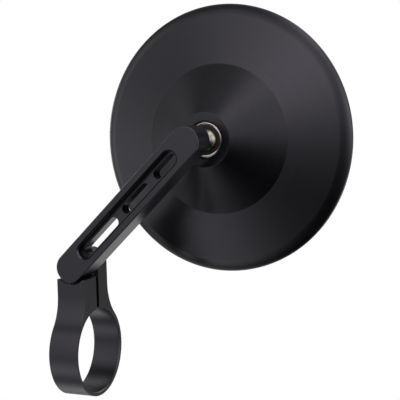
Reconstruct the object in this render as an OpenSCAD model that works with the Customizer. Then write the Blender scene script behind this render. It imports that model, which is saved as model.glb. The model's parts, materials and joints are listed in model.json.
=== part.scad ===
// Motorcycle bar end mirror: a round turned head on a ball stud, a slotted arm and a split ring clamp.
// Millimetres. The origin is the centre of the clamp's bore, +X runs out along the handlebar's end,
// +Y points back to the rider, who looks into the glass, and +Z is up.

/* [Bar clamp] */
// Bore that grips the end of the handlebar
bar_bore_d = 31.4; // [29:0.1:34]
// Wall of the ring round the bore
ring_wall = 1.5; // [1.2:0.1:2.5]
// Width of the ring and neck along the bar
clamp_w = 11.6; // [10.5:0.1:14]
// Front face of the neck, ahead of the bore's centre
neck_front = 9.6; // [8.5:0.1:10.5]
// Rear face of the neck, behind the bore's centre
neck_rear = 7.4; // [6.8:0.1:8.5]
// Fillet where the neck runs down into the ring
neck_fillet = 18; // [14:0.5:22]
// Width of the slit that closes when the clamp screw is tightened
slit_w = 1.8; // [1.2:0.1:2.2]
// Height of the front jaw's flat shoulders below the arm's pivot
shoulder_drop = 4.4; // [4:0.1:5]
// Chamfer at both ends of the bore
bore_chamfer = 0.3; // [0.1:0.1:0.6]

/* [Clamp screw] */
// Thread of the clamp screw
clamp_screw_d = 4; // [3:0.5:4]
// Head of the clamp screw
clamp_head_d = 7; // [5.5:0.5:7]
// Height of that head
clamp_head_h = 3.4; // [3:0.1:4]
// Hexagon socket of the clamp screw, across its flats
clamp_socket_af = 3; // [2:0.5:3]
// Depth of the clamp screw's thread in the front jaw
clamp_thread_depth = 6; // [5:0.5:7]
// Height of the clamp screw above the top of the bore
clamp_screw_rise = 5.6; // [5:0.1:6]
// Thickness of the washer under the head
clamp_washer_t = 0.8; // [0.5:0.1:1.2]

/* [Arm pivot] */
// Height of the pivot above the bore's centre
pivot_z = 32.4; // [31.5:0.1:36]
// Thread of the pivot screw
pivot_screw_d = 5; // [4:0.5:5]
// Head of the pivot screw
pivot_head_d = 8.4; // [7.6:0.1:8.6]
// Height of that head
pivot_head_h = 2.8; // [2.4:0.1:3.4]
// Hexagon socket of the pivot screw, across its flats
pivot_socket_af = 3; // [2:0.5:3]
// Length of thread in the arm
pivot_thread_depth = 7; // [5:0.5:8]
// Depth of the recess for the head in the tang
pivot_recess_depth = 3.4; // [2.5:0.1:4]
// Gap between the tang and the back of the arm, filled by the friction washer
arm_gap = 0.6; // [0.5:0.1:1.2]
// Thickness of the flat washer under the spring
pivot_washer_t = 0.7; // [0.5:0.1:1]
// Sheet thickness of the dished spring under the head
pivot_spring_t = 0.5; // [0.3:0.1:0.6]
// Height of that spring's dish
pivot_spring_rise = 0.3; // [0.2:0.05:0.4]

/* [Arm] */
// Distance between the pivot and the ball stud
arm_len = 65.7; // [60:0.1:75]
// Width of the arm
arm_w = 11; // [10:0.1:12]
// Thickness of the arm from front to back
arm_t = 10.4; // [9.5:0.1:12]
// Chamfer along the arm's edges
arm_chamfer = 0.4; // [0.2:0.1:0.8]
// Angle of the arm above the bar at rest
arm_angle = 43.9; // [30:0.1:60]
// Distance from the pivot to the start of the pockets
pocket_start = 6.2; // [5.8:0.1:8]
// Width of the pocket in each face of the arm
pocket_w = 6.1; // [5:0.1:6.4]
// Depth of the front pocket
pocket_depth = 3.1; // [2:0.1:4]
// Depth of the back pocket
back_pocket_depth = 2; // [1:0.1:4]
// Ledge between a pocket's edge and the slots
slot_ledge = 1.3; // [0.8:0.1:1.6]
// Length of the slot next to the clamp
slot_low_len = 18.7; // [16:0.1:20]
// Length of the middle slot
slot_mid_len = 14.3; // [13:0.1:16]
// Length of the slot next to the head
slot_high_len = 11.5; // [10:0.1:12]
// Rib left between two slots
slot_rib = 3.6; // [2.5:0.1:4]

/* [Ball stud] */
// Diameter of the ball
ball_d = 10; // [9:0.1:11]
// Distance from the back of the arm to the centre of the ball
ball_reach = 11.8; // [11:0.1:14]
// Collar that seats on the back of the arm
collar_d = 7; // [6.4:0.1:8]
// Thickness of that collar
collar_t = 3; // [2:0.1:3.5]
// Spanner flats on the collar, across
collar_af = 6; // [5.6:0.1:6.2]
// Waist between the collar and the ball
stud_neck_d = 4.6; // [4:0.1:5]
// Thread of the stud
stud_thread_d = 5; // [4:0.5:5]
// Depth of that thread in the arm
stud_thread_depth = 8; // [6:0.5:8.5]

/* [Head] */
// Outer diameter of the head
head_d = 100; // [90:0.5:110]
// Distance from the ball's centre to the plane of the rim
rim_ahead = 13.3; // [12.8:0.1:16]
// Width of the turned bevel round the back
bevel_w = 4.3; // [3:0.1:6]
// Depth of that bevel
bevel_depth = 2.4; // [1.8:0.1:3]
// Diameter where the flat cone meets the steep cone
shoulder_d = 55.6; // [48:0.1:62]
// Height of that edge behind the rim's plane
shoulder_depth = 6.2; // [5.2:0.1:7.5]
// Flat face of the boss
boss_d = 20; // [19:0.1:24]
// Height of the boss face behind the rim's plane
boss_depth = 17; // [16.8:0.1:19]
// Straight edge of the rim
rim_edge = 1; // [0.6:0.1:2]
// Chamfer between that edge and the front lip
rim_chamfer = 1.2; // [0.6:0.1:1.6]
// Width of the front lip round the glass
lip_w = 1.3; // [1:0.1:2]
// Depth of the recess for the glass
recess_depth = 2.8; // [2.6:0.1:3]
// Wall of the dish
dish_wall = 2; // [1.6:0.1:2.6]
// Width of the ledge that carries the pad and glass
ledge_w = 9; // [6:0.5:16]
// Turn of the head about the upright at rest
head_yaw = -2.6; // [-10:0.1:10]
// Tip of the head up or down at rest
head_pitch = -0.5; // [-10:0.1:10]

/* [Glass] */
// Thickness of the glass
glass_t = 2; // [1.5:0.1:2.5]
// Radius of the glass's convex curve
glass_curve_r = 1200; // [800:50:2000]
// Thickness of the adhesive pad at its outer edge
pad_t = 0.8; // [0.5:0.1:1.2]
// Width of the pad
pad_w = 8; // [5:0.5:14]

/* [Ball socket] */
// Thickness of the two seats round the ball
seat_t = 0.94; // [0.8:0.02:1.1]
// Mouth of the socket in the boss face
mouth_d = 14; // [13.6:0.1:15]
// Depth of that mouth
mouth_depth = 0.8; // [0.5:0.1:1.2]
// Bright nose of the retaining ring in the mouth
ring_nose_d = 12.8; // [12.7:0.1:13.4]
// Flange of the retaining ring, and of all that follows it in the socket
socket_d = 16.2; // [15.8:0.1:17]
// Height of the nose behind the ball's centre
ring_nose_h = 2.9; // [2.8:0.05:3]
// Height of the flange behind the ball's centre
ring_flange_h = 2; // [1.8:0.1:2.2]
// Flat band on the ring's nose
ring_band_w = 0.55; // [0.4:0.05:0.7]
// Wall of the tube that holds the socket
tube_wall = 2.4; // [1.8:0.1:3]
// Sheet thickness of the two disc springs
disc_t = 0.7; // [0.5:0.1:0.9]
// Height of each spring's dish
disc_rise = 0.45; // [0.3:0.05:0.6]
// Thickness of the adjusting plug
plug_t = 2.9; // [2.4:0.1:3.2]
// Hexagon socket of the plug, across its flats
plug_socket_af = 6; // [4:0.5:8]

/* [Hidden] */
$fn = 64;

// Running fit of a screw or stud in its hole, on the radius
fit = 0.05;
// Clearance between a turned piece and its seat
seat_gap = 0.05;
// Clearance between the ball and its seats, and round the seats
ball_gap = 0.08;
// Play round a loose washer or a screw head
play = 0.2;
// How far a cutter runs past the face that it cuts
over = 1;

bore_r = bar_bore_d / 2;
ring_r = bore_r + ring_wall;
tang_r = clamp_w / 2;
slit_rear = arm_gap;
slit_front = slit_rear - slit_w;
shoulder_z = pivot_z - shoulder_drop;
// Room that the front jaw leaves round the end of the arm
scoop_room = 1;
scoop_r = arm_w / 2 + scoop_room;
clamp_screw_z = bore_r + clamp_screw_rise;
// Seat of the clamp screw's washer in the rear jaw
clamp_seat_y = neck_rear - clamp_head_h;
// Seat of the pivot's washer in the tang
pivot_seat_y = neck_rear - pivot_recess_depth;
pivot_head_y = pivot_seat_y + pivot_washer_t + pivot_spring_t + pivot_spring_rise + 2 * seat_gap;

slot_w = pocket_w - 2 * slot_ledge;
slot_lens = [slot_low_len, slot_mid_len, slot_high_len];
// Where each slot starts, from the pivot
slot_starts = [for (i = [0:2]) pocket_start + slot_ledge + sum_to(slot_lens, i) + i * slot_rib];
pocket_len = sum_to(slot_lens, 3) + 2 * slot_rib + 2 * slot_ledge;

ball_r = ball_d / 2;
ball_at = [arm_len * cos(arm_angle), ball_reach, pivot_z + arm_len * sin(arm_angle)];
seat_in_r = ball_r + ball_gap;
seat_out_r = seat_in_r + seat_t;
cup_r = seat_out_r + ball_gap;
// Angles from the back of the head's axis between which each seat wraps the ball
rear_seat_from = 62;
rear_seat_to = 80;
front_seat_from = 97;
front_seat_to = 150;

head_r = head_d / 2;
boss_w = rim_ahead - boss_depth;
shoulder_w = rim_ahead - shoulder_depth;
bevel_in_w = rim_ahead - bevel_depth;
lip_front_w = rim_ahead + rim_edge + rim_chamfer;
lip_r = head_r - rim_chamfer;
recess_r = lip_r - lip_w;
recess_floor_w = lip_front_w - recess_depth;
ledge_in_r = recess_r - ledge_w;
socket_r = socket_d / 2;
socket_bore_r = socket_r + seat_gap;
tube_r = socket_bore_r + tube_wall;
flange_w = -ring_flange_h;
nose_w = -ring_nose_h;
// Front end of the ring's flange, just past the ball's centre
flange_end_w = 0.4;
cup_start_w = 0.9;
// Floor of the thrust cup ahead of its spherical hollow
cup_floor = 0.8;
cup_end_w = cup_r + cup_floor;
cup_hole_r = 2;
disc_hole_r = 4.1;
disc_h = disc_t + disc_rise;
discs_end_w = cup_end_w + 2 * disc_h + 2 * seat_gap;
plug_start_w = discs_end_w + seat_gap;
plug_end_w = plug_start_w + plug_t;
// Slope of the flat cone and of the steep cone of the dish
flat_slope = (bevel_in_w - shoulder_w) / (head_r - bevel_w - shoulder_d / 2);
steep_slope = (shoulder_w - boss_w) / (shoulder_d / 2 - boss_d / 2);
steep_wall = dish_wall * sqrt(1 + steep_slope * steep_slope);
// The cavity of the dish, kept one wall away from both cones
cavity_shoulder_r = shoulder_d / 2 - dish_wall * tan((atan(steep_slope) - atan(flat_slope)) / 2);
pad_out_r = recess_r - play;
glass_r = recess_r - play;
pad_in_r = glass_r - pad_w;
// Back of the glass where it meets the pad's outer edge
glass_edge_w = recess_floor_w + pad_t + 2 * seat_gap;

// Sum of the first n values of a list
function sum_to(list, n) = n <= 0 ? 0 : list[n - 1] + sum_to(list, n - 1);
// Height of a sphere of radius r above its rim at a distance d from the axis
function sag(r, rim, d) = sqrt(r * r - d * d) - sqrt(r * r - rim * rim);

// Turns a solid of revolution made along +Z so that it points to the rider
module along_y() {
  rotate([-90, 0, 0]) children();
}

// Moves a piece of the head from the ball's centre to its place and tilt
module on_head() {
  translate(ball_at) rotate([0, 0, head_yaw]) rotate([head_pitch, 0, 0]) along_y() children();
}

// Lays a piece that was drawn along +X in the plane of the arm
module on_arm() {
  translate([0, 0, pivot_z]) rotate([0, -arm_angle, 0]) children();
}

// A hexagonal prism from its distance across flats
module hexagon(across, depth) {
  cylinder(d = across / cos(30), h = depth, $fn = 6);
}

// A flat ring
module washer(inner_r, outer_r, thickness) {
  difference() {
    cylinder(r = outer_r, h = thickness);
    translate([0, 0, -over]) cylinder(r = inner_r, h = thickness + 2 * over);
  }
}

// A dished spring, high at its hole when rise is positive and high at its rim when it is negative
module dished(inner_r, outer_r, thickness, rise) {
  low = max(-rise, 0);
  high = max(rise, 0);
  rotate_extrude() polygon([[inner_r, high], [outer_r, low], [outer_r, low + thickness],
    [inner_r, high + thickness]]);
}

// The web that fills the corner between one side of the neck and the ring, side being 1 or -1
module neck_web(face, side) {
  centre_y = face + neck_fillet;
  centre_z = sqrt(pow(ring_r + neck_fillet, 2) - centre_y * centre_y);
  touch = ring_r / (ring_r + neck_fillet);
  difference() {
    rotate([90, 0, 90]) translate([0, 0, -clamp_w / 2]) linear_extrude(clamp_w)
      polygon([[0, 0], [side * centre_y * touch, centre_z * touch], [side * centre_y, centre_z],
        [0, centre_z]]);
    translate([-clamp_w / 2 - over, side * centre_y, centre_z]) rotate([0, 90, 0])
      cylinder(r = neck_fillet, h = clamp_w + 2 * over, $fn = 128);
  }
}

// Ring, neck, front jaw and rear tang, before any hole
module clamp_blank() {
  rotate([0, 90, 0]) cylinder(r = ring_r, h = clamp_w, center = true, $fn = 128);
  neck_web(neck_front, -1);
  neck_web(neck_rear, 1);
  translate([-clamp_w / 2, -neck_front, 0]) cube([clamp_w, neck_front + slit_rear, shoulder_z]);
  translate([-clamp_w / 2, 0, 0]) cube([clamp_w, neck_rear, pivot_z]);
  translate([0, 0, pivot_z]) along_y() cylinder(r = tang_r, h = neck_rear);
}

// A chamfer cutter for one end of the bore, which widens outwards
module bore_end_chamfer() {
  translate([clamp_w / 2 - bore_chamfer, 0, 0]) rotate([0, 90, 0])
    cylinder(r1 = bore_r, r2 = bore_r + bore_chamfer + over, h = bore_chamfer + over, $fn = 128);
}

module clamp() {
  color([0.07, 0.07, 0.075]) difference() {
    clamp_blank();
    rotate([0, 90, 0]) cylinder(r = bore_r, h = clamp_w + 2 * over, center = true, $fn = 128);
    bore_end_chamfer();
    mirror([1, 0, 0]) bore_end_chamfer();
    // The slit, from the bore up to the pivot
    translate([-clamp_w / 2 - over, slit_front, 0])
      cube([clamp_w + 2 * over, slit_w, pivot_z + tang_r + over]);
    // The scoop in the front jaw, round the end of the arm
    translate([0, -neck_front - over, pivot_z]) along_y()
      cylinder(r = scoop_r, h = neck_front + over + slit_rear);
    // Clearance hole, counterbore and thread for the clamp screw
    translate([0, slit_rear - over, clamp_screw_z]) along_y()
      cylinder(r = clamp_screw_d / 2 + play, h = neck_rear + ring_r);
    translate([0, clamp_seat_y, clamp_screw_z]) along_y()
      cylinder(r = clamp_head_d / 2 + play, h = ring_r);
    translate([0, slit_front - clamp_thread_depth, clamp_screw_z]) along_y()
      cylinder(r = clamp_screw_d / 2 + fit, h = clamp_thread_depth + over);
    // Bore and recess for the pivot screw in the tang
    translate([0, 0, pivot_z]) along_y() cylinder(r = pivot_screw_d / 2 + fit, h = neck_rear + over);
    translate([0, pivot_seat_y, pivot_z]) along_y()
      cylinder(r = pivot_head_d / 2 + play, h = pivot_recess_depth + over);
  }
}

// A socket head screw along +Z: its head stands on z = 0 and its shank hangs below
module cap_screw(thread_d, shank, head_diameter, head_height, across) {
  edge = 0.4;
  difference() {
    rotate_extrude() polygon([[0, -shank], [thread_d / 2 - edge, -shank], [thread_d / 2, edge - shank],
      [thread_d / 2, 0], [head_diameter / 2, 0], [head_diameter / 2, head_height - edge],
      [head_diameter / 2 - edge, head_height], [0, head_height]]);
    translate([0, 0, head_height / 2]) hexagon(across, head_height);
  }
}

module clamp_screw() {
  // Room left at the end of the blind thread
  spare = 0.5;
  color([0.3, 0.3, 0.31])
    translate([0, clamp_seat_y + clamp_washer_t + seat_gap, clamp_screw_z]) along_y()
      cap_screw(clamp_screw_d, clamp_seat_y + clamp_washer_t + seat_gap - slit_front
        + clamp_thread_depth - spare, clamp_head_d, clamp_head_h, clamp_socket_af);
}

module clamp_screw_washer() {
  color([0.6, 0.6, 0.62]) translate([0, clamp_seat_y + seat_gap / 2, clamp_screw_z]) along_y()
    washer(clamp_screw_d / 2 + fit, clamp_head_d / 2, clamp_washer_t);
}

module friction_washer() {
  // The washer stays just inside the round end of the arm
  color([0.85, 0.84, 0.8]) translate([0, seat_gap, pivot_z]) along_y()
    washer(pivot_screw_d / 2 + fit, arm_w / 2 - play, arm_gap - 2 * seat_gap);
}

module pivot_washer() {
  color([0.6, 0.6, 0.62]) translate([0, pivot_seat_y + seat_gap / 2, pivot_z]) along_y()
    washer(pivot_screw_d / 2 + fit, pivot_head_d / 2, pivot_washer_t);
}

module pivot_spring() {
  color([0.5, 0.5, 0.52]) translate([0, pivot_seat_y + pivot_washer_t + seat_gap, pivot_z]) along_y()
    dished(pivot_screw_d / 2 + fit, pivot_head_d / 2, pivot_spring_t, pivot_spring_rise);
}

module pivot_screw() {
  // Room left at the end of the blind thread
  spare = 0.5;
  color([0.3, 0.3, 0.31]) translate([0, pivot_head_y, pivot_z]) along_y()
    cap_screw(pivot_screw_d, pivot_head_y + pivot_thread_depth - spare, pivot_head_d, pivot_head_h,
      pivot_socket_af);
}

// A cutter with round ends, from the first centre on X to the second, standing on y = 0 to y = depth
module round_bar(first, last, width, depth) {
  translate([first, 0, 0]) along_y() cylinder(d = width, h = depth);
  translate([last, 0, 0]) along_y() cylinder(d = width, h = depth);
  translate([first, 0, -width / 2]) cube([last - first, depth, width]);
}

// The outline of half a bar's section, from its middle to its chamfered edges
function half_section(half, depth, edge) = [[0, 0], [half - edge, 0], [half, edge], [half, depth - edge],
  [half - edge, depth], [0, depth]];

// The arm before any cut: a bar with round ends and chamfered edges, from y = -arm_t to y = 0
module arm_blank() {
  half = half_section(arm_w / 2, arm_t, arm_chamfer);
  translate([0, -arm_t, 0]) {
    for (centre = [0, arm_len])
      translate([centre, 0, 0]) along_y() rotate_extrude() polygon(half);
    for (side = [-1, 1])
      rotate([90, 0, 90]) linear_extrude(arm_len) polygon([for (p = half) [p[1], side * p[0]]]);
  }
}

module arm() {
  color([0.07, 0.07, 0.075]) on_arm() difference() {
    arm_blank();
    // A pocket in the front face and one in the back face
    for (from_to = [[-arm_t - over, pocket_depth - arm_t], [-back_pocket_depth, over]])
      translate([0, from_to[0], 0]) round_bar(pocket_start + pocket_w / 2,
        pocket_start + pocket_len - pocket_w / 2, pocket_w, from_to[1] - from_to[0]);
    // The slots through the web between them
    for (i = [0:2])
      translate([0, -arm_t - over, 0]) round_bar(slot_starts[i] + slot_w / 2,
        slot_starts[i] + slot_lens[i] - slot_w / 2, slot_w, arm_t + 2 * over);
    // Blind threads from the back, for the pivot screw and the ball stud
    translate([0, -pivot_thread_depth, 0]) along_y()
      cylinder(r = pivot_screw_d / 2 + fit, h = pivot_thread_depth + over);
    translate([arm_len, -stud_thread_depth, 0]) along_y()
      cylinder(r = stud_thread_d / 2 + fit, h = stud_thread_depth + over);
  }
}

module ball_stud() {
  // Room left at the end of the blind thread, and the corner of the waist
  spare = 0.5;
  waist = stud_neck_d / 2;
  flat_gap = (collar_d - collar_af) / 2;
  color([0.75, 0.75, 0.77]) translate([ball_at[0], 0, ball_at[2]]) along_y() difference() {
    union() {
      rotate_extrude() polygon([[0, spare - stud_thread_depth],
        [stud_thread_d / 2, spare - stud_thread_depth], [stud_thread_d / 2, 0], [collar_d / 2, 0],
        [collar_d / 2, collar_t - spare], [collar_d / 2 - spare, collar_t], [waist, collar_t],
        [waist, ball_reach], [0, ball_reach]]);
      translate([0, 0, ball_reach]) sphere(r = ball_r);
    }
    // Two flats on the collar for a spanner
    for (side = [-1, 1])
      translate([side * (collar_af / 2 + flat_gap) - flat_gap, -collar_d, seat_gap])
        cube([2 * flat_gap, 2 * collar_d, collar_t]);
  }
}

// All that lies between two angles from the back of the head's axis, out past the seats
module cone_band(from, to) {
  reach = 2 * seat_out_r;
  rotate_extrude() polygon(concat([[0, 0]],
    [for (a = [from, (from + to) / 2, to]) [reach * sin(a), -reach * cos(a)]]));
}

// A ring or cup between two spheres about the ball's centre
module seat(from, to) {
  on_head() difference() {
    intersection() {
      sphere(r = seat_out_r);
      cone_band(from, to);
    }
    sphere(r = seat_in_r);
  }
}

module rear_seat() {
  color([0.42, 0.3, 0.2]) seat(rear_seat_from, rear_seat_to);
}

module front_seat() {
  color([0.42, 0.3, 0.2]) seat(front_seat_from, front_seat_to);
}

module retaining_ring() {
  nose_r = ring_nose_d / 2;
  // The chamfer of the mouth runs in at 45 degrees from the flat band
  mouth_r = nose_r - ring_band_w;
  color([0.8, 0.8, 0.82]) on_head() difference() {
    rotate_extrude() polygon([[0, nose_w + mouth_r], [mouth_r, nose_w], [nose_r, nose_w],
      [nose_r, flange_w], [socket_r, flange_w], [socket_r, flange_end_w], [0, flange_end_w]]);
    sphere(r = cup_r);
  }
}

module thrust_cup() {
  color([0.55, 0.55, 0.57]) on_head() difference() {
    translate([0, 0, cup_start_w]) cylinder(r = socket_r, h = cup_end_w - cup_start_w);
    sphere(r = cup_r);
    cylinder(r = cup_hole_r, h = cup_end_w + over);
  }
}

module disc_spring_rear() {
  color([0.45, 0.45, 0.47]) on_head() translate([0, 0, cup_end_w + seat_gap])
    dished(disc_hole_r, socket_r - play, disc_t, disc_rise);
}

module disc_spring_front() {
  color([0.5, 0.5, 0.52]) on_head() translate([0, 0, cup_end_w + disc_h + 2 * seat_gap])
    dished(disc_hole_r, socket_r - play, disc_t, -disc_rise);
}

module adjusting_plug() {
  color([0.65, 0.6, 0.45]) on_head() translate([0, 0, plug_start_w]) difference() {
    cylinder(r = socket_r, h = plug_t);
    translate([0, 0, -over]) hexagon(plug_socket_af, plug_t + 2 * over);
  }
}

// The whole dish as one profile: back, rim, front lip, glass recess, cavity and socket tube
module head_housing() {
  color([0.07, 0.07, 0.075]) on_head() rotate_extrude($fn = 128) polygon([
    [mouth_d / 2, boss_w],
    [boss_d / 2, boss_w],
    [shoulder_d / 2, shoulder_w],
    [head_r - bevel_w, bevel_in_w],
    [head_r, rim_ahead],
    [head_r, rim_ahead + rim_edge],
    [lip_r, lip_front_w],
    [recess_r, lip_front_w],
    [recess_r, recess_floor_w],
    [ledge_in_r, recess_floor_w],
    [ledge_in_r, shoulder_w + (ledge_in_r - shoulder_d / 2) * flat_slope + dish_wall],
    [cavity_shoulder_r, shoulder_w + dish_wall],
    [tube_r, boss_w + (tube_r - boss_d / 2) * steep_slope + steep_wall],
    [tube_r, plug_end_w],
    [socket_bore_r, plug_end_w],
    [socket_bore_r, flange_w - seat_gap],
    [ring_nose_d / 2 + seat_gap, flange_w - seat_gap],
    [ring_nose_d / 2 + seat_gap, boss_w + mouth_depth],
    [mouth_d / 2, boss_w + mouth_depth]]);
}

module glass_pad() {
  color([0.12, 0.12, 0.12]) on_head() rotate_extrude($fn = 128) polygon([
    [pad_in_r, recess_floor_w + seat_gap],
    [pad_out_r, recess_floor_w + seat_gap],
    [pad_out_r, recess_floor_w + pad_t],
    [pad_in_r, recess_floor_w + pad_t + sag(glass_curve_r, glass_r, pad_in_r)]]);
}

module mirror_glass() {
  rings = 10;
  color([0.75, 0.8, 0.84]) on_head() rotate_extrude($fn = 128) polygon(concat(
    [for (i = [0:rings]) let (r = glass_r * i / rings) [r, glass_edge_w + sag(glass_curve_r, glass_r, r)]],
    [for (i = [rings:-1:0]) let (r = glass_r * i / rings)
      [r, glass_edge_w + glass_t + sag(glass_curve_r, glass_r, r)]]));
}

clamp();
clamp_screw();
clamp_screw_washer();
friction_washer();
pivot_screw();
pivot_spring();
pivot_washer();
arm();
ball_stud();
rear_seat();
front_seat();
head_housing();
retaining_ring();
thrust_cup();
disc_spring_rear();
disc_spring_front();
adjusting_plug();
glass_pad();
mirror_glass();
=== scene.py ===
# %% [markdown]
# # Dressing a motorcycle bar end mirror
#
# A bar end mirror is three things: a split ring that grips the end of the handlebar, a slotted arm,
# and a round head on a ball joint. All of it is turned or milled from aluminium and dyed black, so
# nearly everything that the eye reads is light on black metal. The CAD frame already gives each
# piece its place and its motion. This file gives the pieces their fine edges and their finishes.

# %% Load the frame
import json
import math

import bmesh
import bpy
from mathutils import Matrix, Vector


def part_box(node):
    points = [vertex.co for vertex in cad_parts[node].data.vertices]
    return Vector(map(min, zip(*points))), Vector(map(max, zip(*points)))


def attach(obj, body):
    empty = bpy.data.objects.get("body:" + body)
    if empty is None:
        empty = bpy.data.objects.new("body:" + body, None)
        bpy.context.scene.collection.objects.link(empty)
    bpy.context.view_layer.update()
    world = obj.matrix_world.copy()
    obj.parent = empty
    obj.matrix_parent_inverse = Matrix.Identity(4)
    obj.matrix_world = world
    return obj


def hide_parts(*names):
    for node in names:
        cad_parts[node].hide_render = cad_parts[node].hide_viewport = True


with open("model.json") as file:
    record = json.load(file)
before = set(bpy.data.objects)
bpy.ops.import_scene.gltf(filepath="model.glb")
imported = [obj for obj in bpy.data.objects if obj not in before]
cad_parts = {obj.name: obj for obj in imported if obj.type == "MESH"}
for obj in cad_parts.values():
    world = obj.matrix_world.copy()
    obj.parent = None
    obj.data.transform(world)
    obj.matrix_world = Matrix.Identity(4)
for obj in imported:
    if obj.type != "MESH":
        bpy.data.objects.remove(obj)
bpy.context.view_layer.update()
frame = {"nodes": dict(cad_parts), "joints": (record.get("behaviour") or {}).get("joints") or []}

# %% [markdown]
# ## The camera first
#
# The camera decides how fine all the rest has to be, so it comes first. It stands about as far away
# as an arm reaches and looks at the back of the head from 23 degrees to the right. Its turn is
# built from three plain rotations, which is easier to read than a matrix of numbers: azimuth about
# the upright, then lift, then a little roll about the line of sight.

# %% Camera
MM = 0.001
CAMERA_AT = Vector((189.04, -323.35, 88.32)) * MM
CAMERA_AZIMUTH, CAMERA_ELEVATION, CAMERA_ROLL = 0.4103, 0.0884, 0.0264
CAMERA_LENS = 90

camera_data = bpy.data.cameras.new("camera")
camera_data.lens = CAMERA_LENS
camera_data.sensor_width = 36
camera = bpy.data.objects.new("camera", camera_data)
bpy.context.scene.collection.objects.link(camera)
camera.matrix_world = (Matrix.Translation(CAMERA_AT) @ Matrix.Rotation(CAMERA_AZIMUTH, 4, "Z")
                       @ Matrix.Rotation(math.pi / 2 - CAMERA_ELEVATION, 4, "X")
                       @ Matrix.Rotation(-CAMERA_ROLL, 4, "Z"))
bpy.context.scene.camera = camera
print("camera at", [round(value * 1000, 1) for value in CAMERA_AT], "mm, lens", CAMERA_LENS)

# %% [markdown]
# ## A handful of bench tools
#
# Blender's operators work on whatever is selected, as a hand works on whatever lies on the bench.
# So the first tool clears the bench, the second picks one piece up, and the third picks corners,
# edges or faces of it by a test on where they lie. A test on places survives a change of order in
# the mesh, which a list of numbers would not.

# %% Selection
CLOSE = 0.002 * MM      # two measures nearer than this are the same
WELD = 0.001 * MM       # two corners nearer than this are merged


def clear_bench():
    """Object mode, with nothing selected."""
    if bpy.context.object and bpy.context.object.mode != "OBJECT":
        bpy.ops.object.mode_set(mode="OBJECT")
    bpy.ops.object.select_all(action="DESELECT")


def hold(piece):
    """The piece alone is selected and active."""
    clear_bench()
    piece.select_set(True)
    bpy.context.view_layer.objects.active = piece


def pick(piece, kind, test):
    """In edit mode, selects the corners, edges or faces that lie wholly where the test says yes."""
    bpy.ops.mesh.select_mode(type=kind)
    bpy.ops.mesh.select_all(action="DESELECT")
    mesh = bmesh.from_edit_mesh(piece.data)
    parts = {"VERT": mesh.verts, "EDGE": mesh.edges, "FACE": mesh.faces}[kind]
    chosen = [part for part in parts
              if all(test(corner.co) for corner in getattr(part, "verts", [part]))]
    for part in chosen:
        part.select_set(True)
    mesh.select_flush_mode()
    bmesh.update_edit_mesh(piece.data)
    return len(chosen)


def near(a, b):
    """Two measures agree to within two thousandths of a millimetre."""
    return abs(a - b) < CLOSE

# %% [markdown]
# ## Modifiers, cuts and edges
#
# A machined edge is never perfectly sharp: the last pass of the deburring wheel leaves a tenth or
# two of a millimetre, and that thin line catches the light. Three ways are open. The bevel could be
# left to a shader, but then the mesh itself has none. It could be modelled edge by edge. Or a
# Bevel modifier can round every edge above an angle, which is quick and even. The last is used,
# and weighted normals then keep the flats flat, so that the light bends only in the rounding.
# Where a piece has edges as short as the rounding is wide, the modifier leaves split corners and
# here and there a gap, so such a piece is welded afterwards and its gaps are filled.

# %% Modifiers
def modified(piece, kind, **settings):
    """Adds a modifier, sets it and applies it."""
    hold(piece)
    bpy.ops.object.modifier_add(type=kind)
    modifier = piece.modifiers[-1]
    for name, value in settings.items():
        setattr(modifier, name, value)
    bpy.ops.object.modifier_apply(modifier=modifier.name)
    return piece


def cut(piece, *cutters):
    """Takes the space of each cutter out of the piece, and throws the cutter away."""
    for cutter in cutters:
        modified(piece, "BOOLEAN", operation="DIFFERENCE", solver="EXACT", object=cutter)
        bpy.data.objects.remove(cutter)


SMOOTH_BELOW = 35


def edged(piece, width, sharper_than=38, segments=3, welded=False):
    """Rounds each edge sharper than so many degrees, and shades the flats flat."""
    if width:
        modified(piece, "BEVEL", width=width, segments=segments, limit_method="ANGLE",
                 angle_limit=math.radians(sharper_than), miter_outer="MITER_ARC")
    hold(piece)
    if welded:
        bpy.ops.object.mode_set(mode="EDIT")
        bpy.ops.mesh.select_all(action="SELECT")
        bpy.ops.mesh.remove_doubles(threshold=WELD)
        bpy.ops.mesh.fill_holes(sides=0)
        bpy.ops.object.mode_set(mode="OBJECT")
    bpy.ops.object.shade_smooth_by_angle(angle=math.radians(SMOOTH_BELOW))
    return modified(piece, "WEIGHTED_NORMAL", keep_sharp=True, weight=80)


def put(piece, at=(0, 0, 0), turn=(0, 0, 0)):
    """Moves a finished piece to its place and writes the place into its mesh."""
    hold(piece)
    piece.location = at
    piece.rotation_euler = turn
    bpy.ops.object.transform_apply()
    return piece

# %% [markdown]
# ## Three ways to make a blank
#
# Lathe: most of this object is round, so a circle of edges is drawn out from point to point of a
# profile, and scaled at each point, as the tool would run along the work. Spin would do the same
# from an open profile, but the drawn ring shows how each radius follows the last. Bar: a circle
# whose far half is pulled away gives a bar with truly round ends. Trace: an outline is drawn by
# pulling one corner along, and spinning it where the outline is an arc.

# %% Lathe
ROUND = 128


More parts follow.
